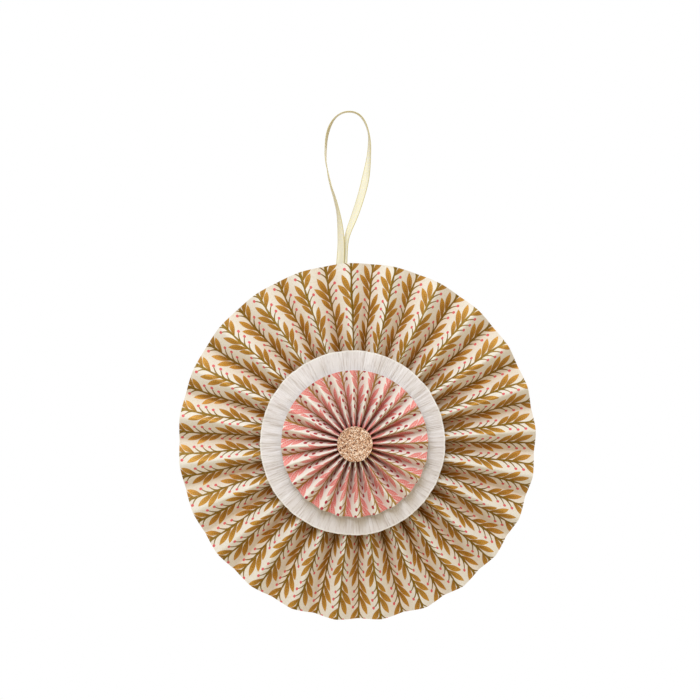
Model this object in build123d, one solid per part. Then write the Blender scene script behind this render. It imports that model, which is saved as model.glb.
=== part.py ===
from build123d import *

import os
from collections import namedtuple
from math import atan2, ceil, cos, hypot, pi, radians, sin, sqrt, tan

# A paper rosette that hangs by a ribbon. +Z is up and the front looks along -Y. The origin is the
# centre of the rear face of the card disc at its back, on the axis of the large fan. Every sheet is
# described by radii and by clock angles, which run clockwise from the top as seen from the front.

# Large fan, pleated from two strips of printed paper
outer_radius = 130.0
outer_gather_radius = 15.0
outer_panel_width = 19.6
outer_paper = 0.25
outer_fold_width = 1.4
outer_spread_share = 0.88

# Small fan, pleated from one strip
inner_radius = 52.6
inner_gather_radius = 6.0
inner_panel_width = 9.8
inner_paper = 0.2
inner_fold_width = 0.7
inner_spread_share = 0.71
inner_centre_x = -1.85
inner_centre_z = -0.45

# Hand folding: the ridge beside which two strip ends meet, and how the folds crowd together round
# one side of the ring and stray from even spacing
outer_seam_deg = 172.2
outer_drift_deg = 3.2
outer_crowded_deg = 124.8
outer_stray_deg = 0.17
inner_seam_deg = 298.0
inner_drift_deg = 0.6
inner_crowded_deg = 100.0
inner_stray_deg = 0.3
stray_beats = (5, 9)

# Strip ends: each runs on behind the next panel as a flap
outer_seam_share = 0.16
inner_seam_share = 0.36
flap_bend_share = 0.05
flap_end_share = 0.85

# Folds where the strips are gathered, in thicknesses of the paper, and the flat pieces that a sheet
# is made of from its middle out to its rim
gathered_fold_papers = 1.4
outer_step_count = 6
inner_step_count = 4
crepe_step_count = 1
ribbon_step_count = 1

# Ruffle of crepe paper between the fans
crepe_radius = 67.2
crepe_gather_radius = 7.0
crepe_thickness = 0.4
crepe_wave_spacing = 15.0
crepe_wave_height = 1.5
crepe_edge_stray = 0.7
crepe_centre_x = -3.2
crepe_centre_z = -0.35
crepe_facet_count = 6
crepe_height_shares = (0.7, 1.0, 0.55, 0.85)

# Punched discs that close the two middles
glitter_disc_radius = 12.7
glitter_disc_thickness = 0.6
glitter_disc_rounding = 0.15
glitter_centre_x = -1.6
glitter_centre_z = -0.4
back_disc_radius = 25.0
back_disc_thickness = 0.8
back_disc_rounding = 0.2

# Films of glue
glue_film = 0.2
flap_glue_film = 0.06

# Ribbon for hanging
ribbon_width = 6.35
ribbon_thickness = 0.25
ribbon_station_count = 72
ribbon_radius_share = 0.45

# The ribbon's way, from its glued end at the left, up, round the loop and back down to the other
# end: across, deep, up, and how far the ribbon has turned from lying flat to the front.
ribbon_route = [
    (-14.6, -8.35, 106.0, 30),
    (-12.1, -11.0, 127.0, 22),
    (-11.3, -10.4, 148.0, 42),
    (-14.4, -10.0, 172.0, 72),
    (-20.6, -9.2, 192.0, 84),
    (-23.6, -8.6, 211.0, 97),
    (-21.8, -8.2, 229.0, 97),
    (-13.6, -7.8, 240.6, 89),
    (0.2, -7.6, 241.4, 86),
    (7.8, -7.8, 231.0, 91),
    (9.9, -8.2, 213.0, 113),
    (6.3, -8.6, 190.0, 149),
    (-0.5, -8.8, 168.0, 145),
    (-8.0, -9.1, 149.0, 125),
    (-10.4, -10.9, 129.0, 156),
    (-10.8, -10.5, 108.0, 151),
]

Fan = namedtuple(
    "Fan",
    "radius gather panel paper fold pleats seam drift crowded stray x y z",
)
Station = namedtuple("Station", "front_gather front_rim back_rim back_gather")


def fold_angle(fan, index):
    """Clock angle of a fold in radians, counted from the seam. Even folds are ridges, odd valleys."""
    even = pi * index / fan.pleats
    drift = fan.drift * (sin(even + fan.seam - fan.crowded) + sin(fan.crowded - fan.seam))
    stray = sum(fan.stray * sin(beat * even) for beat in stray_beats)
    return fan.seam + even - drift + stray


def chord(fan, index, radius):
    """Straight distance across one panel, from a fold to the next."""
    return 2 * radius * sin((fold_angle(fan, index + 1) - fold_angle(fan, index)) / 2)


def fold_width(fan, radius):
    """A fold is pressed sharp where the strip is gathered and is softer at the rim."""
    if radius < fan.radius:
        return gathered_fold_papers * fan.paper
    return fan.fold


def rise(fan, index, radius):
    """Depth of one panel, which keeps its width of paper however far it is spread."""
    fold = fold_width(fan, radius)
    return sqrt((fan.panel - fold) ** 2 - (chord(fan, index, radius) - fold) ** 2)


def fold_depth(fan, index, radius):
    """Place of a fold along Y from the fan's middle plane; ridges are in front."""
    half = (rise(fan, index - 1, radius) + rise(fan, index, radius)) / 4
    return half if index % 2 else -half


def gathered_half_depth(fan):
    """Half the depth of the gathered middle, paper included."""
    mean_chord = 2 * fan.gather * sin(pi / fan.pleats / 2)
    fold = fold_width(fan, fan.gather)
    return (sqrt((fan.panel - fold) ** 2 - (mean_chord - fold) ** 2) + fan.paper) / 2


def panel_slope(fan, index, radius):
    """Angle between one panel and the fan's middle plane."""
    drop = abs(fold_depth(fan, index + 1, radius) - fold_depth(fan, index, radius))
    return atan2(drop, chord(fan, index, radius) - fold_width(fan, radius))


def place(fan, angle, radius, depth):
    """Point of a sheet from its clock angle, radius and depth."""
    return Vector(fan.x + radius * sin(angle), fan.y + depth, fan.z + radius * cos(angle))


def fold_corner(fan, index, side, radius):
    """Front and back points of one corner of a fold; side is -1 before the fold, 1 after it."""
    slope = panel_slope(fan, index if side > 0 else index - 1, radius)
    outside = -1 if index % 2 else 1
    mitre = outside * fan.paper / 2 * tan(slope / 2)
    half_fold = fold_width(fan, radius) / 2
    depth = fold_depth(fan, index, radius)
    angle = fold_angle(fan, index)
    front = place(fan, angle + side * (half_fold + mitre) / radius, radius, depth - fan.paper / 2)
    back = place(fan, angle + side * (half_fold - mitre) / radius, radius, depth + fan.paper / 2)
    return front, back


def panel_point(fan, index, share, behind, radius):
    """Front and back points on a panel, a share of the way across it, shifted behind it."""
    half_fold = fold_width(fan, radius) / 2 / radius
    start = fold_angle(fan, index) + half_fold
    end = fold_angle(fan, index + 1) - half_fold
    start_depth = fold_depth(fan, index, radius)
    end_depth = fold_depth(fan, index + 1, radius)
    angle = start + share * (end - start)
    depth = start_depth + share * (end_depth - start_depth)
    run = radius * (end - start)
    length = hypot(run, end_depth - start_depth)
    across = -(end_depth - start_depth) / length
    along_depth = run / length
    near = behind - fan.paper / 2
    far = behind + fan.paper / 2
    front = place(fan, angle + near * across / radius, radius, depth + near * along_depth)
    back = place(fan, angle + far * across / radius, radius, depth + far * along_depth)
    return front, back


def fold_station(fan, index, side):
    """One corner of a fold from the gathered middle to the rim."""
    front_gather, back_gather = fold_corner(fan, index, side, fan.gather)
    front_rim, back_rim = fold_corner(fan, index, side, fan.radius)
    return Station(front_gather, front_rim, back_rim, back_gather)


def panel_station(fan, index, share, behind):
    """One line down a panel from the gathered middle to the rim."""
    front_gather, back_gather = panel_point(fan, index, share, behind, fan.gather)
    front_rim, back_rim = panel_point(fan, index, share, behind, fan.radius)
    return Station(front_gather, front_rim, back_rim, back_gather)


def quad(first, second, third, fourth):
    """Two flat faces that fill four corners, with the fold between them from first to third."""
    return [
        Face(Wire.make_polygon([first, second, third])),
        Face(Wire.make_polygon([first, third, fourth])),
    ]


def between(start, end, step, steps):
    """Point some steps of the way along a straight line."""
    return start + (end - start) * (step / steps)


def long_face(here_start, here_end, there_start, there_end, steps):
    """Flat faces from one pair of long lines to the next, cut in steps so that they twist evenly."""
    faces = []
    for step in range(steps):
        faces += quad(
            between(here_start, here_end, step, steps),
            between(here_start, here_end, step + 1, steps),
            between(there_start, there_end, step + 1, steps),
            between(there_start, there_end, step, steps),
        )
    return faces


def end_face(station, steps):
    """Flat faces that close the open end of a strip."""
    front_start, front_end, back_end, back_start = station
    return long_face(front_start, front_end, back_start, back_end, steps)


def sheet(stations, steps, closed):
    """Closed solid of a thin sheet from its stations, as a whole ring or as an open strip."""
    following = stations[1:] + stations[:1] if closed else stations[1:]
    faces = []
    for here, there in zip(stations, following):
        faces += long_face(here.front_gather, here.front_rim, there.front_gather, there.front_rim, steps)
        faces += long_face(here.back_gather, here.back_rim, there.back_gather, there.back_rim, steps)
        faces += quad(here.front_rim, here.back_rim, there.back_rim, there.front_rim)
        faces += quad(here.front_gather, here.back_gather, there.back_gather, there.front_gather)
    if not closed:
        faces += end_face(stations[0], steps)
        faces += end_face(stations[-1], steps)
    return Solid(Shell(faces))


def pleated_strip(fan, first_ridge, last_ridge, seam_share, steps):
    """Strip that starts on the panel after one ridge and ends in a flap after another."""
    behind = fan.paper + flap_glue_film
    stations = [panel_station(fan, 2 * first_ridge, seam_share, 0)]
    for index in range(2 * first_ridge + 1, 2 * last_ridge + 1):
        stations.append(fold_station(fan, index, -1))
        stations.append(fold_station(fan, index, 1))
    stations.append(panel_station(fan, 2 * last_ridge, seam_share - flap_bend_share, 0))
    stations.append(panel_station(fan, 2 * last_ridge, seam_share, behind))
    stations.append(panel_station(fan, 2 * last_ridge, flap_end_share, behind))
    return sheet(stations, steps, closed=False)


def crepe_station(step, steps):
    """One line of the ruffle. Its waves are flat at the gathered middle and full at the edge."""
    angle = 2 * pi * step / steps
    wave = step // crepe_facet_count
    height = crepe_wave_height * crepe_height_shares[wave % len(crepe_height_shares)]
    lift = height * (1 - cos(2 * pi * step / crepe_facet_count)) / 2
    edge = crepe_radius - crepe_edge_stray * (1 + sin(stray_beats[1] * angle)) / 2
    back_gather = crepe_back(crepe_gather_radius)
    back_rim = crepe_back(crepe_radius) - lift
    return Station(
        crepe_point(angle, crepe_gather_radius, back_gather - crepe_thickness),
        crepe_point(angle, edge, back_rim - crepe_thickness),
        crepe_point(angle, edge, back_rim),
        crepe_point(angle, crepe_gather_radius, back_gather),
    )


def crepe_back(radius):
    """Y of the ruffle's rear, which clears the large fan's ridges all round by a film of glue."""
    return ridge_front(outer_fan, radius - hypot(crepe_centre_x, crepe_centre_z)) - glue_film


def crepe_point(angle, radius, y):
    """Point of the ruffle about its own centre."""
    return Vector(crepe_centre_x + radius * sin(angle), y, crepe_centre_z + radius * cos(angle))


def crepe_ruffle():
    """Ring of gathered crepe paper with broad uneven waves."""
    waves = round(2 * pi * crepe_radius / crepe_wave_spacing)
    steps = waves * crepe_facet_count
    return sheet([crepe_station(step, steps) for step in range(steps)], crepe_step_count, closed=True)


def disc(radius, thickness, rounding, x, rear_y, z):
    """Punched card disc that faces the front, with its cut edge slightly rounded."""
    face = Plane(origin=(x, rear_y, z), x_dir=(1, 0, 0), z_dir=(0, -1, 0))
    blank = extrude(face * Circle(radius), thickness)
    return fillet(blank.edges(), rounding)


def ridge_front(fan, radius):
    """Y of the foremost ridge of a fan at a radius, along its straight folds."""
    deepest = max(rise(fan, index, fan.radius) for index in range(2 * fan.pleats))
    at_rim = (deepest + fan.paper) / 2
    share = (radius - fan.gather) / (fan.radius - fan.gather)
    half_depth = gathered_half_depth(fan)
    return fan.y - half_depth - share * (at_rim - half_depth)


def ribbon_path():
    """Line of the ribbon: straight runs joined by arcs as large as the runs allow."""
    points = [Vector(x, y, z) for x, y, z, turn in ribbon_route]
    radii = []
    for before, corner, after in zip(points, points[1:], points[2:]):
        run_in = corner - before
        run_out = after - corner
        half_turn = radians(run_in.get_angle(run_out)) / 2
        shorter = min(run_in.length, run_out.length)
        radii.append(ribbon_radius_share * shorter / tan(half_turn))
    return FilletPolyline(*points, radius=radii), radii


def ribbon_turn(share):
    """Turn of the ribbon about its own line, read between the points of its route."""
    points = [Vector(x, y, z) for x, y, z, turn in ribbon_route]
    lengths = [(there - here).length for here, there in zip(points, points[1:])]
    reach = share * sum(lengths)
    for index, length in enumerate(lengths):
        if reach <= length or index == len(lengths) - 1:
            break
        reach -= length
    start = ribbon_route[index][-1]
    end = ribbon_route[index + 1][-1]
    return radians(start + (end - start) * reach / length)


def ribbon_section(path, share):
    """Cross-section of the ribbon at a share of its length."""
    along = path % share
    flat = along.cross(Vector(0, 1, 0)).normalized()
    deep = flat.cross(along)
    turn = ribbon_turn(share)
    width_direction = flat * cos(turn) + deep * sin(turn)
    across = width_direction * (ribbon_width / 2)
    through = along.cross(width_direction) * (ribbon_thickness / 2)
    middle = path @ share
    return Station(
        middle - across + through,
        middle + across + through,
        middle + across - through,
        middle - across - through,
    )


def ribbon_loop():
    """Ribbon folded into a loop, with both ends glued behind the top of the large fan."""
    path, radii = ribbon_path()
    shares = [station / ribbon_station_count for station in range(ribbon_station_count + 1)]
    sections = [ribbon_section(path, share) for share in shares]
    ribbon = sheet(sections, ribbon_step_count, closed=False)
    print("ribbon arcs, mm:", [round(radius, 1) for radius in radii])
    print("ribbon length, mm:", round(path.length, 1))
    print("ribbon volume against section x length:",
          round(ribbon.volume, 1), round(ribbon_width * ribbon_thickness * path.length, 1))
    return ribbon


def pleats_round(radius, panel, spread_share):
    """Fewest pleats that fill a full turn without pulling the panels flat."""
    return ceil(pi * radius / (panel * spread_share))


# Places along Y, from the back forward
outer_fan = Fan(
    outer_radius, outer_gather_radius, outer_panel_width, outer_paper, outer_fold_width,
    pleats_round(outer_radius, outer_panel_width, outer_spread_share),
    radians(outer_seam_deg), radians(outer_drift_deg), radians(outer_crowded_deg),
    radians(outer_stray_deg), 0, 0, 0,
)
outer_y = -(back_disc_thickness + glue_film + gathered_half_depth(outer_fan))
outer_fan = outer_fan._replace(y=outer_y)

inner_fan = Fan(
    inner_radius, inner_gather_radius, inner_panel_width, inner_paper, inner_fold_width,
    pleats_round(inner_radius, inner_panel_width, inner_spread_share),
    radians(inner_seam_deg), radians(inner_drift_deg), radians(inner_crowded_deg),
    radians(inner_stray_deg), inner_centre_x, 0, inner_centre_z,
)
inner_back_y = crepe_back(crepe_gather_radius) - crepe_thickness - glue_film
inner_fan = inner_fan._replace(y=inner_back_y - gathered_half_depth(inner_fan))

glitter_rear_y = inner_fan.y - gathered_half_depth(inner_fan) - glue_film


def main():
    """Write one file for each piece."""
    right_pleats = ceil(outer_fan.pleats / 2)
    pieces = {
        "back_disc": disc(back_disc_radius, back_disc_thickness, back_disc_rounding, 0, 0, 0),
        "outer_strip_right": pleated_strip(
            outer_fan, -right_pleats, 0, outer_seam_share, outer_step_count
        ),
        "outer_strip_left": pleated_strip(
            outer_fan, 0, outer_fan.pleats - right_pleats, outer_seam_share, outer_step_count
        ),
        "crepe_ruffle": crepe_ruffle(),
        "inner_strip": pleated_strip(
            inner_fan, -inner_fan.pleats, 0, inner_seam_share, inner_step_count
        ),
        "glitter_disc": disc(
            glitter_disc_radius, glitter_disc_thickness, glitter_disc_rounding,
            glitter_centre_x, glitter_rear_y, glitter_centre_z,
        ),
        "ribbon_loop": ribbon_loop(),
    }
    os.makedirs("parts", exist_ok=True)
    for node, shape in pieces.items():
        export_step(shape, f"parts/{node}.step")


main()
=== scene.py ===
from collections import namedtuple
from math import cos, floor, hypot, pi, radians, sin, sqrt

import bpy
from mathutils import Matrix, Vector, noise


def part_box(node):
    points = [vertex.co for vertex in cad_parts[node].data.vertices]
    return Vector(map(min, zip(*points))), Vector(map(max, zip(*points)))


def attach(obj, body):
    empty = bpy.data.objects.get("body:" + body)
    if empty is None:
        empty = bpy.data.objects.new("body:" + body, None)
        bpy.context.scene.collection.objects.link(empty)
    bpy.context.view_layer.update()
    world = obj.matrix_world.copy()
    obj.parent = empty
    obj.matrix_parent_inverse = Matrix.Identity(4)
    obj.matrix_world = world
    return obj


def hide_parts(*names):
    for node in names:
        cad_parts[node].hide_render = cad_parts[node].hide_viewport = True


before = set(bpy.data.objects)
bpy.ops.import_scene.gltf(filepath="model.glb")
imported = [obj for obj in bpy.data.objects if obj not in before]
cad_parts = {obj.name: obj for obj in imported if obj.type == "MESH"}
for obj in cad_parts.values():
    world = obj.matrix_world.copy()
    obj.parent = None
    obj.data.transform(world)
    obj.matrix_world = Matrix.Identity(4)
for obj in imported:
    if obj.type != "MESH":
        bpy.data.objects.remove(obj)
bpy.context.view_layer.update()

# A paper rosette on a ribbon, in metres. +Z is up and the front looks along -Y. Clock angles run
# clockwise from the top as seen from the front, and places along a strip of paper are counted in
# panels from the ridge beside which two strip ends meet.

millimetres_a_metre = 1000

# A pleated fan. Its folds stand evenly apart but for a drift, which crowds them round one clock
# angle, and a small stray of each. Its strips start seam_share of a panel past their first ridge.
# The curl is how far a panel bulges, and columns_a_panel and rows say how finely it is cut.
Fan = namedtuple(
    "Fan",
    "radius gather panel paper fold softness pleats seam drift crowded stray x y z "
    "seam_share curl columns_a_panel rows",
)
stray_beats = (5, 9)

# How the print lies on a strip, in millimetres: where along it a stem stands, how far out the foot
# of a spray is, and how much further in the sprays lie for each millimetre along it (slant) and for
# its square (arch). From widened_from on, the print lags by widened_share of the way past there, so
# it is drawn wider.
Layout = namedtuple("Layout", "first_stem first_spray slant arch widened_from widened_share")
right_layout = Layout(0, 102.2, 0.0047, 0, 0, 0)
left_layout = Layout(0, 102.2, 0.0107, 0, 436, 0.155)
small_layout = Layout(-10.9, 34.6, 0.0353, 0.000063, 0, 0)

# Node groups that both printed papers share.
Groups = namedtuple("Groups", "pattern grain crease")


def middle_depth(node):
    """Y halfway between the front and the back of a solid."""
    low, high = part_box(node)
    return (low.y + high.y) / 2


large_fan = Fan(
    radius=0.130, gather=0.015, panel=0.0196, paper=0.00025, fold=0.0014, softness=0.0015,
    pleats=24, seam=radians(172.2), drift=radians(3.2), crowded=radians(124.8),
    stray=radians(0.17), x=0, y=middle_depth("outer_strip_right"), z=0,
    seam_share=0.16, curl=0.0004, columns_a_panel=12, rows=40,
)
small_fan = Fan(
    radius=0.0526, gather=0.006, panel=0.0098, paper=0.0002, fold=0.0007, softness=0.0006,
    pleats=24, seam=radians(298), drift=radians(0.6), crowded=radians(100),
    stray=radians(0.3), x=-0.00185, y=middle_depth("inner_strip"), z=-0.00045,
    seam_share=0.36, curl=0.00015, columns_a_panel=8, rows=30,
)
flap_bend_share = 0.05
flap_end_share = 0.85
flap_glue_film = 0.00006
gathered_fold_papers = 1.4
column_crowding = 0.11
least_end_column = 0.01
strip_smooth_angle = radians(50)

# Noise that makes the panels bulge unevenly.
panel_noise_step = 0.37
outward_noise_step = 1.7
fan_noise_scale = 50
usual_bulge = 0.6

ribbon_width = 0.00635
ribbon_thickness = 0.00025
ribbon_rows = 8
ribbon_curl = 0.0009
ribbon_curl_pace = 90
# Stops of the ribbon: place, and turn about its own line in degrees.
ribbon_route = [
    (-0.0146, -0.00835, 0.1060, 30),
    (-0.0121, -0.01100, 0.1270, 22),
    (-0.0113, -0.01040, 0.1480, 42),
    (-0.0144, -0.01000, 0.1720, 72),
    (-0.0206, -0.00920, 0.1920, 84),
    (-0.0236, -0.00860, 0.2110, 101),
    (-0.0218, -0.00820, 0.2290, 101),
    (-0.0136, -0.00780, 0.2406, 89),
    (0.0002, -0.00760, 0.2414, 86),
    (0.0078, -0.00780, 0.2310, 91),
    (0.0099, -0.00820, 0.2130, 113),
    (0.0063, -0.00860, 0.1900, 149),
    (-0.0005, -0.00880, 0.1680, 145),
    (-0.0080, -0.00910, 0.1490, 125),
    (-0.0104, -0.01090, 0.1290, 156),
    (-0.0108, -0.01050, 0.1080, 151),
]


# Helpers for objects

def deselect_everything():
    """Leave nothing selected, the CAD solids among them."""
    bpy.ops.object.select_all(action="DESELECT")


def apply_modifiers(piece):
    """Make every modifier of a piece part of its mesh."""
    deselect_everything()
    piece.select_set(True)
    bpy.context.view_layer.objects.active = piece
    for modifier in list(piece.modifiers):
        bpy.ops.object.modifier_apply(modifier=modifier.name)


def finish_piece(piece, node):
    """Put a finished piece in the place of its CAD solid."""
    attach(piece, "root")
    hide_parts(node)


def flat_sheet(name, columns, rows):
    """Flat sheet, a metre square, cut into columns and rows."""
    deselect_everything()
    bpy.ops.mesh.primitive_grid_add(x_subdivisions=columns, y_subdivisions=rows, size=1)
    sheet = bpy.context.object
    sheet.name = name
    sheet.data.name = name
    return sheet


def shape_sheet(sheet, columns, rows, point_at, flat_at):
    """Move each point of a flat sheet to its place, and keep its flat place as a UV map."""
    cells = [
        (round((vertex.co.x + 0.5) * columns), round((vertex.co.y + 0.5) * rows))
        for vertex in sheet.data.vertices
    ]
    flat = sheet.data.uv_layers[0]
    flat.name = "flat_place"
    for loop in sheet.data.loops:
        flat.data[loop.index].uv = flat_at(*cells[loop.vertex_index])
    for vertex, cell in zip(sheet.data.vertices, cells):
        vertex.co = point_at(*cell)
    sheet.data.update()


def print_strip_ends(strip):
    """Carry the print over the two cut ends of a strip, which are the faces with no flat width."""
    flat = strip.data.uv_layers["flat_place"].data
    for face in strip.data.polygons:
        reach = [flat[corner].uv.x for corner in face.loop_indices]
        if (max(reach) - min(reach)) * millimetres_a_metre < 0.01:
            face.material_index = 0


def thicken(sheet, thickness, steepest):
    """Give a sheet its thickness, with its second material on its back and its cut edges."""
    wall = sheet.modifiers.new("paper thickness", "SOLIDIFY")
    wall.thickness = thickness
    wall.offset = 0
    wall.material_offset = 1
    wall.material_offset_rim = 1
    apply_modifiers(sheet)
    bpy.ops.object.shade_smooth_by_angle(angle=steepest)


# Pleated fans

def fold_angle(fan, index):
    """Clock angle of a fold, counted from the seam. Even folds are ridges, odd ones valleys."""
    even = pi * index / fan.pleats
    drift = fan.drift * (sin(even + fan.seam - fan.crowded) + sin(fan.crowded - fan.seam))
    stray = sum(fan.stray * sin(beat * even) for beat in stray_beats)
    return fan.seam + even - drift + stray


def chord(fan, index, radius):
    """Straight distance across one panel, from a fold to the next."""
    return 2 * radius * sin((fold_angle(fan, index + 1) - fold_angle(fan, index)) / 2)


def fold_width(fan, radius):
    """A fold is pressed sharp where the strip is gathered and is wider at the rim."""
    return fan.fold if radius == fan.radius else gathered_fold_papers * fan.paper


def rise(fan, index, radius):
    """Depth of one panel, which keeps its width of paper however far it is spread."""
    fold = fold_width(fan, radius)
    return sqrt((fan.panel - fold) ** 2 - (chord(fan, index, radius) - fold) ** 2)


def fold_depth(fan, index, radius):
    """Place of a fold along Y from the fan's middle plane; ridges are in front."""
    half = (rise(fan, index - 1, radius) + rise(fan, index, radius)) / 4
    return half if index % 2 else -half


def soft_share(across, width, fold, softness):
    """How far a panel has dropped from one fold to the next, with both folds softly rounded."""
    start = hypot(across, softness) - across
    end = hypot(width - across, softness) - (width - across)
    return (across - fold / 2 + start - end) / (width - fold)


def paper_point(fan, along, radius, behind):
    """Point of the strip at a place along it, at the gathered middle or at the rim."""
    index = floor(along)
    share = along - index
    width = chord(fan, index, radius)
    fold = fold_width(fan, radius)
    softness = fan.softness if radius == fan.radius else fold / 2
    start = fold_depth(fan, index, radius)
    end = fold_depth(fan, index + 1, radius)
    depth = start + (end - start) * soft_share(share * width, width, fold, softness)
    angle = fold_angle(fan, index) * (1 - share) + fold_angle(fan, index + 1) * share
    slope = (end - start) / width
    shift = behind / hypot(1, slope)
    turn = -shift * slope / radius
    return Vector((
        fan.x + radius * sin(angle + turn),
        fan.y + depth + shift,
        fan.z + radius * cos(angle + turn),
    ))


def column_places(start, end, columns_a_panel):
    """Places along a strip where its mesh has columns, closer together beside the folds."""
    places = [start]
    for column in range(floor(start) * columns_a_panel, (floor(end) + 1) * columns_a_panel + 1):
        panel, step = divmod(column, columns_a_panel)
        even = step / columns_a_panel
        place = panel + even - column_crowding * sin(2 * pi * even)
        if start + least_end_column < place < end - least_end_column:
            places.append(place)
    return places + [end]


def smooth_step(value):
    """Ease from 0 to 1."""
    share = min(max(value, 0), 1)
    return share * share * (3 - 2 * share)


def pleated_paper(name, fan, start_ridge, end_ridge):
    """Strip of paper without thickness, folded round the fan from one ridge to another."""
    start = start_ridge + fan.seam_share
    places = column_places(start, end_ridge + flap_end_share, fan.columns_a_panel)
    columns = len(places) - 1
    behind_flap = fan.paper + flap_glue_film
    bend_start = end_ridge + fan.seam_share - flap_bend_share
    ends = []
    for place in places:
        behind = behind_flap * smooth_step((place - bend_start) / flap_bend_share)
        ends.append((
            paper_point(fan, place, fan.gather, behind),
            paper_point(fan, place, fan.radius, behind),
        ))

    def point_at(column, row):
        outward = row / fan.rows
        gathered, rim = ends[column]
        point = gathered.lerp(rim, outward)
        panel, share = divmod(places[column], 1)
        same_panel = panel % (2 * fan.pleats)
        uneven = noise.noise(Vector((
            panel_noise_step * same_panel, outward_noise_step * outward,
            fan.radius * fan_noise_scale,
        )))
        bulge = fan.curl * (usual_bulge + uneven) * sin(pi * share) * outward
        side = -1 if panel % 2 else 1
        ripple = fan.curl * noise.noise(point / fan.panel) * outward
        point.y += bulge * side + ripple
        return point

    def flat_at(column, row):
        reach = fan.gather + (fan.radius - fan.gather) * row / fan.rows
        return places[column] * fan.panel, reach

    strip = flat_sheet(name, columns, fan.rows)
    shape_sheet(strip, columns, fan.rows, point_at, flat_at)
    return strip


def finish_strip(strip, fan, front, back, node):
    """Give a folded strip its two sides and its thickness, and put it in its node's place."""
    strip.data.materials.append(front)
    strip.data.materials.append(back)
    thicken(strip, fan.paper, strip_smooth_angle)
    print_strip_ends(strip)
    finish_piece(strip, node)


# Helpers for materials

# Sockets of a Mix node that blends colours.
mix_share, mix_first, mix_second, mix_result = 0, 6, 7, 2
paper_relief = 0.00004


def linear(code):
    """Colour from its six hexadecimal digits."""
    values = [int(code[place:place + 2], 16) / 255 for place in (0, 2, 4)]
    return [
        value / 12.92 if value <= 0.04045 else ((value + 0.055) / 1.055) ** 2.4
        for value in values
    ] + [1]


class Field:
    """A number that varies over a surface, with its sums done by Math nodes."""

    def __init__(self, tree, socket):
        self.tree = tree
        self.socket = socket

    def sum(self, operation, *others, clamp=False):
        node = self.tree.nodes.new("ShaderNodeMath")
        node.operation = operation
        node.use_clamp = clamp
        for place, value in enumerate((self,) + others):
            feed(self.tree, node.inputs[place], value)
        return Field(self.tree, node.outputs[0])

    def __add__(self, other):
        return self.sum("ADD", other)

    def __sub__(self, other):
        return self.sum("SUBTRACT", other)

    def __mul__(self, other):
        return self.sum("MULTIPLY", other)

    def __truediv__(self, other):
        return self.sum("DIVIDE", other)

    def __neg__(self):
        return self.sum("MULTIPLY", -1)

    def size(self):
        return self.sum("ABSOLUTE")

    def inverse(self):
        """One minus the number."""
        return self.sum("MULTIPLY_ADD", -1, 1)

    def clamped(self):
        return self.sum("ADD", 0, clamp=True)

    def above(self, limit):
        return self.sum("GREATER_THAN", limit)

    def wrapped(self, low, high):
        return self.sum("WRAP", high, low)

    def larger(self, other):
        return self.sum("MAXIMUM", other)

    def sharp(self, feather):
        """Mask of where the number is above zero, with a soft border."""
        return self.sum("MULTIPLY_ADD", 1 / feather, 0.5, clamp=True)


def feed(tree, socket, value):
    """Link a field or a socket to an input, or write a plain value there."""
    if isinstance(value, Field):
        tree.links.new(value.socket, socket)
    elif isinstance(value, bpy.types.NodeSocket):
        tree.links.new(value, socket)
    else:
        socket.default_value = value


def start_group(name, inputs, outputs):
    """Empty node group with named number inputs and outputs."""
    group = bpy.data.node_groups.new(name, "ShaderNodeTree")
    for label, plain in inputs.items():
        socket = group.interface.new_socket(label, in_out="INPUT", socket_type="NodeSocketFloat")
        socket.default_value = plain
    for label in outputs:
        group.interface.new_socket(label, in_out="OUTPUT", socket_type="NodeSocketFloat")
    entry = group.nodes.new("NodeGroupInput")
    return group, [Field(group, entry.outputs[label]) for label in inputs]


def end_group(group, **results):
    """Send the results of a group to its outputs."""
    way_out = group.nodes.new("NodeGroupOutput")
    for label, result in results.items():
        feed(group, way_out.inputs[label.replace("_", " ")], result)
    return group


def use_group(tree, group, **values):
    """Place a group in a material or another group, and read its outputs."""
    node = tree.nodes.new("ShaderNodeGroup")
    node.node_tree = group
    for label, value in values.items():
        feed(tree, node.inputs[label.replace("_", " ")], value)
    return [Field(tree, socket) for socket in node.outputs]


def noise_field(tree, vector, scale, detail=2, roughness=0.5):
    """Cloudy noise."""
    node = tree.nodes.new("ShaderNodeTexNoise")
    tree.links.new(vector, node.inputs["Vector"])
    node.inputs["Scale"].default_value = scale
    node.inputs["Detail"].default_value = detail
    node.inputs["Roughness"].default_value = roughness
    return Field(tree, node.outputs["Fac"])


def vector_of(tree, x, y, z=0.0):
    """Vector made of three fields or numbers."""
    node = tree.nodes.new("ShaderNodeCombineXYZ")
    for socket, value in zip(node.inputs, (x, y, z)):
        feed(tree, socket, value)
    return node.outputs[0]


def mix_colours(tree, share, first, second, blend="MIX"):
    """Blend of two colours, which are sockets or plain values; the share may be a field."""
    node = tree.nodes.new("ShaderNodeMix")
    node.data_type = "RGBA"
    node.blend_type = blend
    feed(tree, node.inputs[mix_share], share)
    feed(tree, node.inputs[mix_first], first)
    feed(tree, node.inputs[mix_second], second)
    return node.outputs[mix_result]


def relief(tree, height, depth):
    """Normal of a surface with fine relief, its depth in metres."""
    node = tree.nodes.new("ShaderNodeBump")
    node.inputs["Strength"].default_value = 1
    node.inputs["Distance"].default_value = depth
    feed(tree, node.inputs["Height"], height)
    return node.outputs["Normal"]


def start_material(name, roughness):
    """Material with one Principled shader, whose colour and relief are added afterwards."""
    material = bpy.data.materials.new(name)
    material.use_nodes = True
    tree = material.node_tree
    shader = tree.nodes["Principled BSDF"]
    shader.inputs["Roughness"].default_value = roughness
    shader.inputs["Specular IOR Level"].default_value = 0.3
    return material, tree, shader


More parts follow.
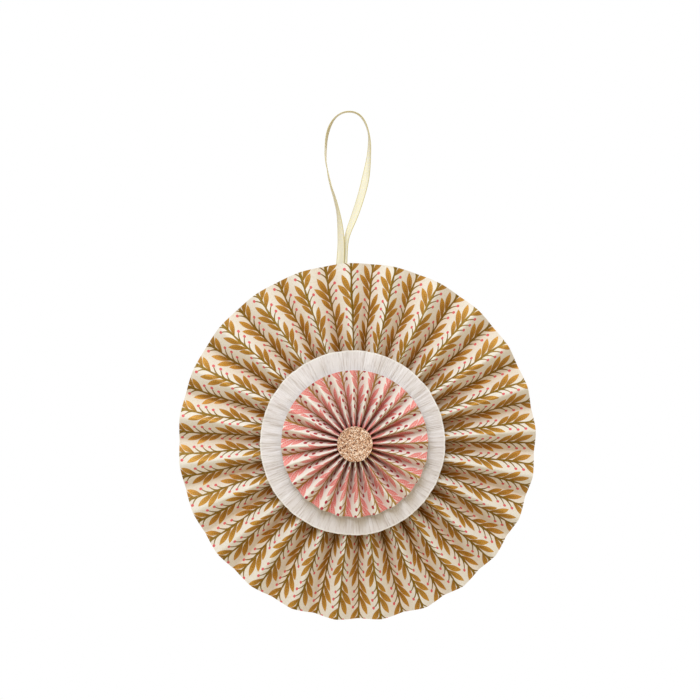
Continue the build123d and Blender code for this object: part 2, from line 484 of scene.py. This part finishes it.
def flat_place(tree):
    """Place on the flat sheet in millimetres: along it, and outward or across it."""
    uv_map = tree.nodes.new("ShaderNodeUVMap")
    uv_map.uv_map = "flat_place"
    parts = tree.nodes.new("ShaderNodeSeparateXYZ")
    tree.links.new(uv_map.outputs[0], parts.inputs[0])
    return (
        Field(tree, parts.outputs[0]) * millimetres_a_metre,
        Field(tree, parts.outputs[1]) * millimetres_a_metre,
    )


def object_place(tree):
    """Place in the object, as a vector socket."""
    return tree.nodes.new("ShaderNodeTexCoord").outputs["Object"]


# The printed pattern: upright stems a fixed distance apart, each with sprays of three leaves on one
# side and three berries on the other, and the sides swapped at each half repeat. Millimetres on paper.

stem_spacing = 18.7
repeat_height = 40.3
spray_reach = 11.2
spray_drop = 4.5
# Of each leaf: height of its foot, reach of its tip across and up, width, and bend.
leaf_shapes = (
    (-1.3, -7.5, 10.7, 4.0, -0.3),
    (5.0, -11.0, 12.7, 4.5, -0.5),
    (10.2, -7.5, 14.6, 4.4, 0.2),
)
# Of each berry: place across and up, and how far below it its stalk leaves the stem.
berry_places = ((5.2, 8.3, 6.8), (6.2, 13.9, 7.8), (5.5, 19.6, 8.8))


def leaf_group():
    """One leaf from its foot on the stem to its tip, with a midrib and side veins."""
    group, (across, up, foot_up, reach_across, reach_up, width, bend) = start_group(
        "printed leaf",
        {
            "Across": 0, "Up": 0, "Foot up": 0, "Reach across": -8, "Reach up": 10,
            "Width": 3, "Bend": 0.5,
        },
        ["Leaf", "Vein", "Tip"],
    )
    length = (reach_across * reach_across + reach_up * reach_up).sum("SQRT")
    rise_up = up - foot_up
    along = (across * reach_across + rise_up * reach_up) / (length * length)
    bow = bend * along * along.inverse() * 4
    aside = (across * reach_up - rise_up * reach_across) / length + bow
    blade = ((along + 0.07) / 1.07).clamped()
    half_blade = (blade.sum("POWER", 1.4) * pi).sum("SINE").sum("POWER", 0.9) * width / 2
    inside = half_blade - aside.size()
    leaf = inside.sharp(0.12) * along.above(0) * along.inverse().above(0)
    midrib = (aside.size() * -3 + 1.1).clamped() * (along.inverse() * 2).clamped()
    rows = (along * length * 0.55 + aside.size() * 0.5).sum("FRACT")
    side_vein = ((rows - 0.5).size() * -4 + 1).clamped()
    vein = midrib.larger(side_vein * 0.8)
    return end_group(group, Leaf=leaf, Vein=vein * leaf, Tip=along.clamped() * leaf)


def berry_group():
    """One round berry on a stalk that leaves the stem upward and curves out to it."""
    group, (across, up, berry_across, berry_up, drop, berry_size) = start_group(
        "printed berry",
        {"Across": 0, "Up": 0, "Berry across": 5.6, "Berry up": 8, "Drop": 7, "Berry size": 1},
        ["Berry", "Stalk"],
    )
    from_middle = ((across - berry_across) * (across - berry_across)
                   + (up - berry_up) * (up - berry_up)).sum("SQRT")
    berry = (berry_size - from_middle).sharp(0.15)
    climb = ((up - berry_up) / drop + 1)
    climbed = climb.clamped()
    line = berry_across * climbed * climbed
    half_width = climbed * -0.3 + 0.85
    stalk = (half_width - (across - line).size()).sharp(0.12)
    return end_group(
        group, Berry=berry, Stalk=stalk * climb.above(0) * climb.inverse().above(0)
    )


def spray_group(leaf, berry):
    """Three leaves on the left of a stem and three berries on its right."""
    group, (across, up, berry_size) = start_group(
        "printed spray", {"Across": 0, "Up": 0, "Berry size": 1},
        ["Leaf", "Vein", "Tip", "Berry", "Stalk"],
    )
    leaves = [
        use_group(group, leaf, Across=across, Up=up, Foot_up=foot, Reach_across=reach_across,
                  Reach_up=reach_up, Width=width, Bend=bend)
        for foot, reach_across, reach_up, width, bend in leaf_shapes
    ]
    berries = [
        use_group(group, berry, Across=across, Up=up, Berry_across=berry_across,
                  Berry_up=berry_up, Drop=drop, Berry_size=berry_size)
        for berry_across, berry_up, drop in berry_places
    ]
    leaf_cover, vein_cover, tip_cover = [
        one.larger(other).larger(third) for one, other, third in zip(*leaves)
    ]
    berry_cover, stalk_cover = [
        one.larger(other).larger(third) for one, other, third in zip(*berries)
    ]
    return end_group(
        group, Leaf=leaf_cover, Vein=vein_cover, Tip=tip_cover, Berry=berry_cover,
        Stalk=stalk_cover,
    )


def print_group(spray):
    """The whole pattern from the place on the paper."""
    group, (along, up, berry_size) = start_group(
        "leaf and berry print", {"Along": 0, "Up": 0, "Berry size": 1},
        ["Leaf", "Vein", "Tip", "Berry", "Stem"],
    )
    sway = (up * (2 * pi / repeat_height)).sum("SINE") * 0.4
    to_left = along.wrapped(-spray_reach, stem_spacing - spray_reach) + sway
    to_right = along.wrapped(spray_reach - stem_spacing, spray_reach) + sway
    left = use_group(
        group, spray, Across=to_left, Up=up.wrapped(-spray_drop, repeat_height - spray_drop),
        Berry_size=berry_size,
    )
    right = use_group(
        group, spray, Across=-to_right,
        Up=(up + repeat_height / 2).wrapped(-spray_drop, repeat_height - spray_drop),
        Berry_size=berry_size,
    )
    half_repeat = up.wrapped(0, repeat_height / 2) / (repeat_height / 2)
    half_stem = (half_repeat.inverse() * half_repeat) * 1.9 + 0.6
    nearest = along.wrapped(-stem_spacing / 2, stem_spacing / 2) + sway
    stem = (half_stem - nearest.size()).sharp(0.15)
    joined = [one.larger(other) for one, other in zip(left, right)]
    return end_group(
        group, Leaf=joined[0], Vein=joined[1], Tip=joined[2], Berry=joined[3],
        Stem=stem.larger(joined[4]),
    )


def grain_group():
    """Fibres and slow clouds of a sheet of paper, from the place on it in millimetres."""
    group, (along, up) = start_group("paper grain", {"Along": 0, "Up": 0}, ["Fibre", "Cloud"])
    fibre = noise_field(group, vector_of(group, along * 1.2, up * 0.9), 0.9, 4, 0.7)
    cloud = noise_field(group, vector_of(group, along, up), 0.06, 2)
    return end_group(group, Fibre=fibre, Cloud=cloud)


def painted_crease_shade_group():
    """Painted shade near the valley folds: how near a place on the paper is to a valley fold, and to
    the gathered middle.
    """
    group, (along, up, panel, gather, radius) = start_group(
        "crease tone", {"Along": 0, "Up": 0, "Panel": 10, "Gather": 6, "Radius": 50}, ["Crease"]
    )
    valley = ((along + panel).sum("WRAP", panel, -panel).size() / panel).inverse()
    deep = ((radius - up) / (radius - gather)).clamped()
    return end_group(group, Crease=valley.sum("POWER", 1.6) * (deep * 0.8 + 0.2))


def printed_paper(name, fan, groups, layout, look):
    """Paper with the leaf and berry print, and painted shade multiplied in near its valley folds."""
    material, tree, shader = start_material(name, 0.7)
    shader.inputs["Specular IOR Level"].default_value = 0.12
    along, up = flat_place(tree)
    printed_along = along - layout.first_stem
    if layout.widened_share:
        past = (along - layout.widened_from).larger(0)
        printed_along = printed_along - past * layout.widened_share
    leaf, vein, tip, berry, stem = use_group(
        tree, groups.pattern, Along=printed_along,
        Up=up - layout.first_spray + along * layout.slant + along * along * layout.arch,
        Berry_size=look["berry size"],
    )
    fibre, cloud = use_group(tree, groups.grain, Along=along, Up=up)
    paper = mix_colours(tree, cloud, linear(look["paper"]), linear(look["paper cloud"]))
    leaf_ink = mix_colours(tree, tip, linear(look["leaf foot"]), linear(look["leaf tip"]))
    leaf_ink = mix_colours(tree, vein * 0.8, leaf_ink, linear(look["vein"]))
    colour = mix_colours(tree, leaf, paper, leaf_ink)
    colour = mix_colours(tree, stem, colour, linear(look["stem"]))
    colour = mix_colours(tree, berry, colour, linear(look["berry"]))
    speckle = (fibre - 0.46) * 1.6
    colour = mix_colours(tree, speckle.clamped(), colour, linear(look["fleck"]))
    # Painted shade: a darker, warmer colour multiplied in near the valley folds, most toward the
    # gathered middle.
    tone, = use_group(
        tree, groups.crease, Along=along, Up=up, Panel=fan.panel * millimetres_a_metre,
        Gather=fan.gather * millimetres_a_metre, Radius=fan.radius * millimetres_a_metre,
    )
    colour = mix_colours(tree, tone, colour, linear(look["crease"]), "MULTIPLY")
    tree.links.new(colour, shader.inputs["Base Color"])
    ink = leaf.larger(stem)
    feed(tree, shader.inputs["Metallic"], ink * look["metal"])
    feed(tree, shader.inputs["Roughness"], ink * -0.3 + 0.72)
    tree.links.new(relief(tree, fibre + ink * 0.3, paper_relief), shader.inputs["Normal"])
    return material


def plain_paper(name, grain, code, cloud_code):
    """Unprinted side and cut edge of the paper."""
    material, tree, shader = start_material(name, 0.8)
    along, up = flat_place(tree)
    fibre, cloud = use_group(tree, grain, Along=along, Up=up)
    colour = mix_colours(tree, cloud, linear(code), linear(cloud_code))
    tree.links.new(colour, shader.inputs["Base Color"])
    tree.links.new(relief(tree, fibre, paper_relief), shader.inputs["Normal"])
    return material


# The pieces

def large_fan_strips(groups):
    """Two strips of gold leaf paper, joined in the large ring."""
    back = plain_paper("leaf paper back", groups.grain, "F0ECE2", "E9E3D6")
    look = {
        # C8922E is painted shade, multiplied into the paper near the valley folds.
        "paper": "F2EFEA", "paper cloud": "EDE9E1", "leaf foot": "8A5E04", "leaf tip": "D49A3A",
        "vein": "805600", "stem": "806000", "berry": "E0606C", "fleck": "CBB488",
        "crease": "C8922E", "metal": 0.2, "berry size": 1.12,
    }
    right_pleats = (large_fan.pleats + 1) // 2
    left_pleats = large_fan.pleats - right_pleats
    strips = (
        ("leaf_paper_right", "outer_strip_right", -2 * right_pleats, 0, right_layout),
        ("leaf_paper_left", "outer_strip_left", 0, 2 * left_pleats, left_layout),
    )
    for name, node, start_ridge, end_ridge, layout in strips:
        strip = pleated_paper(name, large_fan, start_ridge, end_ridge)
        front = printed_paper(name + "_print", large_fan, groups, layout, look)
        finish_strip(strip, large_fan, front, back, node)


def small_fan_strip(groups):
    """One strip of pink leaf paper in the small ring."""
    back = plain_paper("pink paper back", groups.grain, "EFEAE0", "E8E1D5")
    look = {
        # A03418 is painted shade, multiplied into the paper near the valley folds.
        "paper": "F4F2F0", "paper cloud": "EFECE6", "leaf foot": "DE6468", "leaf tip": "EE8A8C",
        "vein": "F9CFC4", "stem": "AA8438", "berry": "AE0C34", "fleck": "E8CEB4",
        "crease": "A03418", "metal": 0.05, "berry size": 1.4,
    }
    strip = pleated_paper("pink_leaf_paper", small_fan, -2 * small_fan.pleats, 0)
    front = printed_paper("pink_leaf_print", small_fan, groups, small_layout, look)
    finish_strip(strip, small_fan, front, back, "inner_strip")


crepe_radius = 0.0672
crepe_gather_radius = 0.007
crepe_thickness = 0.0004
crepe_centre = (-0.0032, -0.00035)
crepe_edge_room = 0.0004
crepe_wave_height = 0.0013
crepe_crinkle_height = 0.00022
crepe_fine_notch = 0.0003
crepe_broad_notch = 0.0004
crepe_columns = 900
crepe_rows = 24
# Circles through the noise; the larger a circle is, the more waves go round the crepe.
crepe_wave_circle = 3.4
crepe_crinkle_circle = 40


def crepe_material():
    """Matt crepe paper with fine crinkles that run outward, and painted shade: darker crinkle lines
    and lighter and darker bands that follow its relief.
    """
    material, tree, shader = start_material("crepe_paper_finish", 0.85)
    angle, reach = flat_place(tree)
    crinkle = noise_field(tree, vector_of(tree, angle * 0.8, reach * 0.04), 1.0, 4, 0.7)
    broad = noise_field(tree, vector_of(tree, angle * 0.12, reach * 0.02), 1.0, 2)
    # Painted shade: lighter and darker bands and darker crinkle lines, from the same noise as the
    # relief.
    colour = mix_colours(tree, broad, linear("F6F3F8"), linear("ECE7E9"))
    colour = mix_colours(tree, ((crinkle - 0.5) * 6).clamped(), colour, linear("D2C8C6"))
    edge = ((reach - 65.9) * 1.6).clamped()
    colour = mix_colours(tree, edge, colour, linear("FAF8F8"))
    tree.links.new(colour, shader.inputs["Base Color"])
    tree.links.new(relief(tree, crinkle + broad, 0.0011), shader.inputs["Normal"])
    return material


def crepe_piece():
    """Gathered ring of crepe paper with uneven waves, crinkles and an uneven edge."""
    low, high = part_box("crepe_ruffle")
    gathered_y = low.y + crepe_thickness / 2
    edge_y = high.y - crepe_thickness / 2

    def point_at(column, row):
        angle = 2 * pi * column / crepe_columns
        outward = row / crepe_rows
        broad = Vector((
            crepe_wave_circle * sin(angle), crepe_wave_circle * cos(angle), 1.3 * outward,
        ))
        wave = noise.noise(broad * 1.6) + 0.6 * noise.noise(broad * 3.7)
        lift = crepe_wave_height * smooth_step(0.5 + 0.9 * wave) * smooth_step(1.6 * outward - 0.4)
        fine = Vector((
            crepe_crinkle_circle * sin(angle), crepe_crinkle_circle * cos(angle), outward,
        ))
        crinkles = noise.noise(fine) + 0.6 * noise.noise(fine * 2.3)
        crinkle = crepe_crinkle_height * crinkles * outward
        ragged = (crepe_fine_notch * noise.noise(fine * 0.5)
                  + crepe_broad_notch * noise.noise(broad * 2))
        edge = crepe_radius - crepe_edge_room + ragged * outward
        radius = crepe_gather_radius + (edge - crepe_gather_radius) * outward
        return Vector((
            crepe_centre[0] + radius * sin(angle),
            gathered_y + (edge_y - gathered_y) * outward - lift + crinkle,
            crepe_centre[1] + radius * cos(angle),
        ))

    def flat_at(column, row):
        reach = crepe_gather_radius + (crepe_radius - crepe_gather_radius) * row / crepe_rows
        return 2 * pi * crepe_radius * column / crepe_columns, reach

    ruffle = flat_sheet("crepe_ring", crepe_columns, crepe_rows)
    shape_sheet(ruffle, crepe_columns, crepe_rows, point_at, flat_at)
    joined = ruffle.modifiers.new("closed ring", "WELD")
    joined.merge_threshold = 0.00001
    material = crepe_material()
    # Once for the front, and once for the back and the edges.
    ruffle.data.materials.append(material)
    ruffle.data.materials.append(material)
    thicken(ruffle, crepe_thickness, radians(60))
    finish_piece(ruffle, "crepe_ruffle")


glitter_insets = (0.0005, 0.004, 0.004)
glitter_edge_round = 0.00015


def glitter_material():
    """Card covered with small glitter flakes that lie at different tilts; a few flakes are painted
    near white as glints and a few dark as shade.
    """
    material, tree, shader = start_material("glitter_card_finish", 0.4)
    place = object_place(tree)
    flakes = tree.nodes.new("ShaderNodeTexVoronoi")
    tree.links.new(place, flakes.inputs["Vector"])
    flakes.inputs["Scale"].default_value = 1500
    parts = tree.nodes.new("ShaderNodeSeparateColor")
    tree.links.new(flakes.outputs["Color"], parts.inputs[0])
    painted_glint_and_shade_lot, tilt, tint = [Field(tree, socket) for socket in parts.outputs[:3]]
    colour = mix_colours(tree, tint, linear("B88460"), linear("ECC4A2"))
    # Painted glints: a few flakes are near white. Painted shade: a few others are dark brown.
    colour = mix_colours(tree, ((painted_glint_and_shade_lot - 0.78) * 20).clamped(), colour, linear("FFE8D2"))
    colour = mix_colours(tree, ((painted_glint_and_shade_lot * -1 + 0.22) * 20).clamped(), colour, linear("74442A"))
    tree.links.new(colour, shader.inputs["Base Color"])
    feed(tree, shader.inputs["Metallic"], tint * 0.5 + 0.2)
    feed(tree, shader.inputs["Roughness"], tilt * 0.35 + 0.2)
    tree.links.new(relief(tree, tilt, 0.0005), shader.inputs["Normal"])
    return material


def glitter_piece():
    """Punched disc of glitter card with a pressed edge."""
    low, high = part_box("glitter_disc")
    middle = (low + high) / 2
    radius = (high.x - low.x) / 2
    thickness = high.y - low.y
    deselect_everything()
    bpy.ops.mesh.primitive_cylinder_add(
        vertices=128, radius=radius, depth=thickness, location=middle, rotation=(pi / 2, 0, 0)
    )
    disc = bpy.context.object
    disc.name = "glitter_card"
    disc.data.name = "glitter_card"
    bpy.ops.object.transform_apply(location=True, rotation=True, scale=True)
    bpy.ops.object.mode_set(mode="EDIT")
    bpy.ops.mesh.select_mode(type="FACE")
    bpy.ops.mesh.select_all(action="DESELECT")
    bpy.ops.object.mode_set(mode="OBJECT")
    for face in disc.data.polygons:
        face.select = abs(face.normal.y) > 0.9
    bpy.ops.object.mode_set(mode="EDIT")
    for inset in glitter_insets:
        bpy.ops.mesh.inset(thickness=inset, depth=0)
    bpy.ops.object.mode_set(mode="OBJECT")
    edge = disc.modifiers.new("pressed edge", "BEVEL")
    edge.width = glitter_edge_round
    edge.segments = 3
    edge.limit_method = "ANGLE"
    apply_modifiers(disc)
    bpy.ops.object.shade_smooth_by_angle(angle=radians(40))
    disc.data.materials.append(glitter_material())
    finish_piece(disc, "glitter_disc")


def card_material():
    """Matt cream card of the backing disc."""
    material, tree, shader = start_material("backing_card_finish", 0.75)
    place = object_place(tree)
    fibre = noise_field(tree, place, 900, 4, 0.6)
    cloud = noise_field(tree, place, 60, 2)
    colour = mix_colours(tree, cloud, linear("E6DFCF"), linear("DAD1BE"))
    colour = mix_colours(tree, ((fibre - 0.58) * 4).clamped(), colour, linear("C3B79F"))
    tree.links.new(colour, shader.inputs["Base Color"])
    tree.links.new(relief(tree, fibre, 0.00006), shader.inputs["Normal"])
    return material


def satin_material():
    """Satin ribbon with fine threads along it and a darker woven edge."""
    material, tree, shader = start_material("satin_finish", 0.55)
    shader.inputs["Specular IOR Level"].default_value = 0.05
    shader.inputs["Subsurface Weight"].default_value = 0.15
    shader.inputs["Subsurface Radius"].default_value = (1.0, 0.8, 0.4)
    shader.inputs["Subsurface Scale"].default_value = 0.002
    along, across = flat_place(tree)
    thread = noise_field(tree, vector_of(tree, along * 0.12, across * 5), 1.0, 3, 0.6)
    cloud = noise_field(tree, vector_of(tree, along * 0.05, across * 0.4), 1.0, 2)
    colour = mix_colours(tree, cloud, linear("E9E7DA"), linear("E6E1CA"))
    colour = mix_colours(tree, ((thread - 0.5) * 2).clamped(), colour, linear("DCD5AC"))
    edge = (across.size() - 2.75).sharp(0.3)
    colour = mix_colours(tree, edge * 0.85, colour, linear("C0B36C"))
    tree.links.new(colour, shader.inputs["Base Color"])
    tree.links.new(relief(tree, thread, 0.00001), shader.inputs["Normal"])
    return material


def ribbon_line():
    """Points along the smooth line that the route's stops steer."""
    curve = bpy.data.curves.new("ribbon_line", "CURVE")
    curve.dimensions = "3D"
    curve.resolution_u = 24
    spline = curve.splines.new("NURBS")
    spline.points.add(len(ribbon_route) - 1)
    for point, stop in zip(spline.points, ribbon_route):
        point.co = (*stop[:3], 1)
    spline.order_u = 3
    spline.use_endpoint_u = True
    holder = bpy.data.objects.new("ribbon_line", curve)
    bpy.context.scene.collection.objects.link(holder)
    bpy.context.view_layer.update()
    mesh = bpy.data.meshes.new_from_object(holder)
    points = [vertex.co.copy() for vertex in mesh.vertices]
    bpy.data.objects.remove(holder)
    bpy.data.curves.remove(curve)
    bpy.data.meshes.remove(mesh)
    return points


def ribbon_turn(share):
    """Turn of the ribbon about its own line, in radians, read between the stops of its route."""
    points = [Vector(stop[:3]) for stop in ribbon_route]
    lengths = [(there - here).length for here, there in zip(points, points[1:])]
    reach = share * sum(lengths)
    for index, length in enumerate(lengths):
        if reach <= length or index == len(lengths) - 1:
            break
        reach -= length
    start = ribbon_route[index][3]
    end = ribbon_route[index + 1][3]
    eased = smooth_step(reach / length) * 0.5 + 0.5 * reach / length
    return radians(start + (end - start) * eased)


def ribbon_piece():
    """Ribbon in a loop, with both ends behind the top of the large fan.

    It curls across its width, one way and the other along its length, and lies flat at its ends.
    """
    points = ribbon_line()
    reaches = [0]
    for here, there in zip(points, points[1:]):
        reaches.append(reaches[-1] + (there - here).length)
    columns = len(points) - 1
    frames = []
    for index, point in enumerate(points):
        before = points[max(index - 1, 0)]
        after = points[min(index + 1, columns)]
        along = (after - before).normalized()
        flat = along.cross(Vector((0, 1, 0))).normalized()
        deep = flat.cross(along)
        turn = ribbon_turn(reaches[index] / reaches[-1])
        width = flat * cos(turn) + deep * sin(turn)
        frames.append((point, width, along.cross(width)))

    def point_at(column, row):
        point, width, through = frames[column]
        side = row / ribbon_rows - 0.5
        free = sin(pi * reaches[column] / reaches[-1])
        curl = ribbon_curl * (4 * side * side - 0.5) * sin(reaches[column] * ribbon_curl_pace) * free
        return point + width * (side * ribbon_width) + through * curl

    def flat_at(column, row):
        return reaches[column], (row / ribbon_rows - 0.5) * ribbon_width

    ribbon = flat_sheet("ribbon", columns, ribbon_rows)
    shape_sheet(ribbon, columns, ribbon_rows, point_at, flat_at)
    material = satin_material()
    # Once for the front, and once for the back and the edges.
    ribbon.data.materials.append(material)
    ribbon.data.materials.append(material)
    thicken(ribbon, ribbon_thickness, radians(60))
    finish_piece(ribbon, "ribbon_loop")


# Camera, light and surroundings

camera_distance = 0.85
camera_sideways = -0.0051
camera_height = 0.0667
camera_lens = 59.9
camera_sensor = 36

room_light = (1, 0.78, 0.42, 1)
room_light_strength = 0.44
room_seen = (1, 1, 1, 1)

floor_radius = 0.75
floor_height = -0.45


def camera():
    """Level view from the front, a little left of the rosette's middle and above it."""
    lens = bpy.data.cameras.new("front view")
    lens.sensor_width = camera_sensor
    lens.lens = camera_lens
    lens.clip_start = 0.01
    view = bpy.data.objects.new("front view", lens)
    bpy.context.scene.collection.objects.link(view)
    view.location = (camera_sideways, large_fan.y - camera_distance, camera_height)
    view.rotation_euler = (pi / 2, 0, 0)
    bpy.context.scene.camera = view


def soft_lamp(name, place, size, power, colour):
    """Large soft lamp that faces the middle of the rosette's back."""
    light = bpy.data.lights.new(name, "AREA")
    light.shape = "SQUARE"
    light.size = size
    light.energy = power
    light.color = colour
    lamp = bpy.data.objects.new(name, light)
    bpy.context.scene.collection.objects.link(lamp)
    lamp.location = place
    lamp.rotation_euler = (-Vector(place)).to_track_quat("-Z", "Y").to_euler()


def surroundings():
    """White all round, with a dimmer and warmer white as light on the rosette."""
    world = bpy.data.worlds.new("white room")
    world.use_nodes = True
    bpy.context.scene.world = world
    tree = world.node_tree
    background = tree.nodes["Background"]
    path = tree.nodes.new("ShaderNodeLightPath")
    seen = Field(tree, path.outputs["Is Camera Ray"]) + Field(tree, path.outputs["Is Glossy Ray"])
    seen = (seen + Field(tree, path.outputs["Is Transmission Ray"])).clamped()
    feed(tree, background.inputs["Color"], mix_colours(tree, seen, room_light, room_seen))
    strength = seen * (1 - room_light_strength) + room_light_strength
    feed(tree, background.inputs["Strength"], strength)


def floor_piece():
    """Plain pale floor under the hanging rosette."""
    deselect_everything()
    bpy.ops.mesh.primitive_circle_add(
        vertices=96, radius=floor_radius, fill_type="NGON", location=(0, 0, floor_height)
    )
    ground = bpy.context.object
    ground.name = "pale_floor"
    material, tree, shader = start_material("pale_floor_finish", 0.9)
    cloud = noise_field(tree, object_place(tree), 3, 2)
    colour = mix_colours(tree, cloud, linear("F2F1EF"), linear("EDECEA"))
    tree.links.new(colour, shader.inputs["Base Color"])
    ground.data.materials.append(material)


def main():
    """Build the whole scene."""
    bpy.context.scene.view_settings.view_transform = "Standard"
    camera()
    ribbon_piece()
    groups = Groups(
        pattern=print_group(spray_group(leaf_group(), berry_group())), grain=grain_group(),
        crease=painted_crease_shade_group(),
    )
    large_fan_strips(groups)
    small_fan_strip(groups)
    crepe_piece()
    glitter_piece()
    card = card_material()
    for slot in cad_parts["back_disc"].material_slots:
        slot.material = card
    surroundings()
    soft_lamp(
        "key light", place=(-0.19, -0.64, 0.60), size=0.6, power=6.5, colour=(0.83, 0.91, 1.0)
    )
    soft_lamp(
        "back light", place=(0.25, 0.85, 0.55), size=0.6, power=6.0, colour=(0.97, 0.99, 1.0)
    )
    soft_lamp("fill light", place=(0.6, -1.0, 0.75), size=1.0, power=1.6, colour=(1, 1, 1))
    floor_piece()


main()
